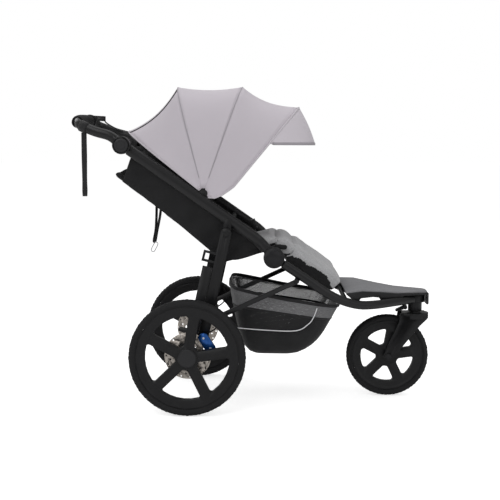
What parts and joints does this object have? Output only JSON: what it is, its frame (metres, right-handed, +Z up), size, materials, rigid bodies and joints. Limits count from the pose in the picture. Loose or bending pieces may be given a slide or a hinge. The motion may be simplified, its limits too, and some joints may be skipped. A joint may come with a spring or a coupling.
{
  "type": "baby stroller",
  "caption": "Jogging stroller with a folding oval-tube frame, reclining seat, fan canopy with sun visor, mesh basket, disc-braked rear wheels and a swivelling front wheel.",
  "frame": {"origin": "on the ground under the middle of the stroller's overall length, in its middle plane", "axes": "+X forwards, the way the stroller rolls; +Y to the child's left; +Z up"},
  "size_m": [1.268, 0.646, 1.1189],
  "materials": {
    "frame_tube": "satin black anodised oval tube",
    "hinge_plastic": "fine grained black nylon",
    "cast_metal": "satin black casting",
    "steel_pin": "blackened turned steel",
    "seat_fabric_black": "woven black cloth",
    "seat_fabric_grey": "heathered light grey woven cloth",
    "webbing": "black polyester webbing",
    "canopy_fabric": "plain light warm grey canopy cloth",
    "visor_fabric": "plain light grey visor cloth",
    "deck_fabric": "mid grey hard-wearing cloth",
    "basket_mesh": "black knitted mesh",
    "grip_foam": "matt black foam",
    "button_plastic": "satin dark grey plastic",
    "hose_rubber": "matt black hose",
    "ring_metal": "bright plated wire",
    "caliper_blue": "anodised blue",
    "disc_steel": "ground steel",
    "tyre_rubber": "black tread rubber",
    "rim_plastic": "satin black moulded composite"
  },
  "bodies": {
    "front_frame": {"front_tubes": "frame_tube", "fold_hub_plates": "hinge_plastic", "fold_pins": "steel_pin", "steering_head": "cast_metal", "front_crossbar": "frame_tube", "strut_lugs": "cast_metal", "seat_base": "seat_fabric_black", "seat_cushion": "seat_fabric_grey", "crotch_strap": "webbing", "harness_buckle": "hinge_plastic", "footrest_shell": "hinge_plastic", "footrest_mat": "deck_fabric", "basket": "basket_mesh"},
    "buckle_button": {"buckle_button": "button_plastic"},
    "upper_frame": {"push_tubes": "frame_tube", "fold_hubs": "hinge_plastic", "handle_sockets": "hinge_plastic", "leg_brackets": "cast_metal", "recline_bar": "frame_tube", "side_fabric": "seat_fabric_black", "canopy_mounts": "hinge_plastic"},
    "handlebar": {"handlebar": "frame_tube", "handle_grip": "grip_foam", "brake_lever_clamp": "hinge_plastic", "brake_hose": "hose_rubber", "strap_collar": "webbing", "wrist_strap": "webbing"},
    "handle_button_left": {"handle_button_left": "button_plastic"},
    "handle_button_right": {"handle_button_right": "button_plastic"},
    "brake_lever": {"brake_lever": "cast_metal"},
    "canopy_rear": {"canopy_rear_bow": "frame_tube", "canopy_rear_panel": "canopy_fabric"},
    "canopy_mid": {"canopy_mid_bow": "frame_tube", "canopy_mid_panel": "canopy_fabric"},
    "canopy_front": {"canopy_front_bow": "frame_tube", "canopy_front_panel": "canopy_fabric"},
    "sun_visor": {"sun_visor": "visor_fabric"},
    "backrest": {"backrest_board": "seat_fabric_black", "backrest_cushion": "seat_fabric_black", "shoulder_straps": "webbing", "recline_strap": "webbing", "recline_ring": "ring_metal"},
    "leg_rest": {"leg_rest": "seat_fabric_grey"},
    "rear_legs": {"rear_legs": "cast_metal"},
    "folding_struts": {"folding_struts": "frame_tube"},
    "rear_axle": {"rear_axle": "cast_metal", "brake_calipers": "caliper_blue", "caliper_hoses": "hose_rubber"},
    "parking_pedal": {"parking_pedal": "hinge_plastic"},
    "rear_wheel_left": {"rear_tyre_left": "tyre_rubber", "rear_rim_left": "rim_plastic", "brake_disc_left": "disc_steel"},
    "rear_wheel_right": {"rear_tyre_right": "tyre_rubber", "rear_rim_right": "rim_plastic", "brake_disc_right": "disc_steel"},
    "fork": {"fork": "cast_metal", "front_axle": "steel_pin"},
    "swivel_lock": {"swivel_lock": "hinge_plastic"},
    "front_wheel": {"front_tyre": "tyre_rubber", "front_rim": "rim_plastic"}
  },
  "joints": [
    {"name": "frame_fold", "type": "hinge", "parent": "front_frame", "child": "upper_frame", "pos_m": [0.064, 0, 0.534], "axis": [0, -1, 0], "range_deg": [0, 100], "deforming": ["side_fabric", "basket"]},
    {"name": "leg_fold", "type": "hinge", "parent": "upper_frame", "child": "rear_legs", "pos_m": [-0.099, 0, 0.618], "axis": [0, -1, 0], "range_deg": [-52, 0]},
    {"name": "strut_fold", "type": "hinge", "parent": "front_frame", "child": "folding_struts", "pos_m": [0.142, 0, 0.452], "axis": [0, -1, 0], "range_deg": [0, 78]},
    {"name": "rear_suspension", "type": "slide", "parent": "rear_legs", "child": "rear_axle", "axis": [0.2164, 0, 0.9763], "range_m": [0, 0.02], "stiffness_N_per_m": 25000, "springref_m": -0.008},
    {"name": "rear_wheel_left_spin", "type": "hinge", "parent": "rear_axle", "child": "rear_wheel_left", "pos_m": [-0.23, 0.3, 0.2], "axis": [0, 1, 0], "continuous": true},
    {"name": "rear_wheel_right_spin", "type": "hinge", "parent": "rear_axle", "child": "rear_wheel_right", "pos_m": [-0.23, -0.3, 0.2], "axis": [0, 1, 0], "continuous": true},
    {"name": "parking_pedal_press", "type": "hinge", "parent": "rear_axle", "child": "parking_pedal", "pos_m": [-0.23, 0.12, 0.2], "axis": [0, -1, 0], "range_deg": [0, 20]},
    {"name": "fork_swivel", "type": "hinge", "parent": "front_frame", "child": "fork", "pos_m": [0.582, 0, 0.34], "axis": [0, 0, 1], "continuous": true},
    {"name": "front_wheel_spin", "type": "hinge", "parent": "fork", "child": "front_wheel", "pos_m": [0.482, 0, 0.15], "axis": [0, 1, 0], "continuous": true},
    {"name": "swivel_lock_flip", "type": "hinge", "parent": "fork", "child": "swivel_lock", "pos_m": [0.546, 0, 0.326], "axis": [0, -1, 0], "range_deg": [0, 10]},
    {"name": "handlebar_tilt", "type": "hinge", "parent": "upper_frame", "child": "handlebar", "pos_m": [-0.45, 0, 0.916], "axis": [0, -1, 0], "range_deg": [-25, 30]},
    {"name": "handle_button_left_press", "type": "slide", "parent": "handlebar", "child": "handle_button_left", "axis": [0, -1, 0], "range_m": [0, 0.004], "stiffness_N_per_m": 700, "springref_m": -0.002},
    {"name": "handle_button_right_press", "type": "slide", "parent": "handlebar", "child": "handle_button_right", "axis": [0, 1, 0], "range_m": [0, 0.004], "stiffness_N_per_m": 700, "springref_m": -0.002},
    {"name": "brake_lever_pull", "type": "hinge", "parent": "handlebar", "child": "brake_lever", "pos_m": [-0.564, 0.092, 1.012], "axis": [0, 0, -1], "range_deg": [0, 9], "stiffness_Nm_per_rad": 1.5, "springref_deg": -5.73},
    {"name": "canopy_fold", "type": "hinge", "parent": "upper_frame", "child": "canopy_rear", "pos_m": [-0.17749, 0, 0.75303], "axis": [0, -1, 0], "range_deg": [0, 30], "deforming": ["canopy_rear_panel"]},
    {"name": "canopy_mid_fold", "type": "hinge", "parent": "canopy_rear", "child": "canopy_mid", "pos_m": [-0.17749, 0, 0.75303], "axis": [0, -1, 0], "range_deg": [0, 30], "deforming": ["canopy_mid_panel"]},
    {"name": "canopy_front_fold", "type": "hinge", "parent": "canopy_mid", "child": "canopy_front", "pos_m": [-0.17749, 0, 0.75303], "axis": [0, -1, 0], "range_deg": [0, 30], "deforming": ["canopy_front_panel"]},
    {"name": "visor_flip", "type": "hinge", "parent": "canopy_front", "child": "sun_visor", "pos_m": [0.1528, 0, 1.04525], "axis": [0, -1, 0], "range_deg": [-25, 50]},
    {"name": "backrest_recline", "type": "hinge", "parent": "upper_frame", "child": "backrest", "pos_m": [-0.126, 0, 0.552], "axis": [0, 1, 0], "range_deg": [0, 30]},
    {"name": "leg_rest_tilt", "type": "hinge", "parent": "front_frame", "child": "leg_rest", "pos_m": [0.102, 0, 0.566], "axis": [0, -1, 0], "range_deg": [0, 35]},
    {"name": "buckle_button_press", "type": "slide", "parent": "front_frame", "child": "buckle_button", "axis": [-0.9613, 0, -0.2756], "range_m": [0, 0.002], "stiffness_N_per_m": 700, "springref_m": -0.001}
  ],
  "couplings": [
    {"joint": "leg_fold", "follows": "frame_fold", "ratio": -0.4748},
    {"joint": "strut_fold", "follows": "frame_fold", "ratio": 0.7478},
    {"joint": "canopy_mid_fold", "follows": "canopy_fold", "ratio": 1},
    {"joint": "canopy_front_fold", "follows": "canopy_fold", "ratio": 1}
  ]
}
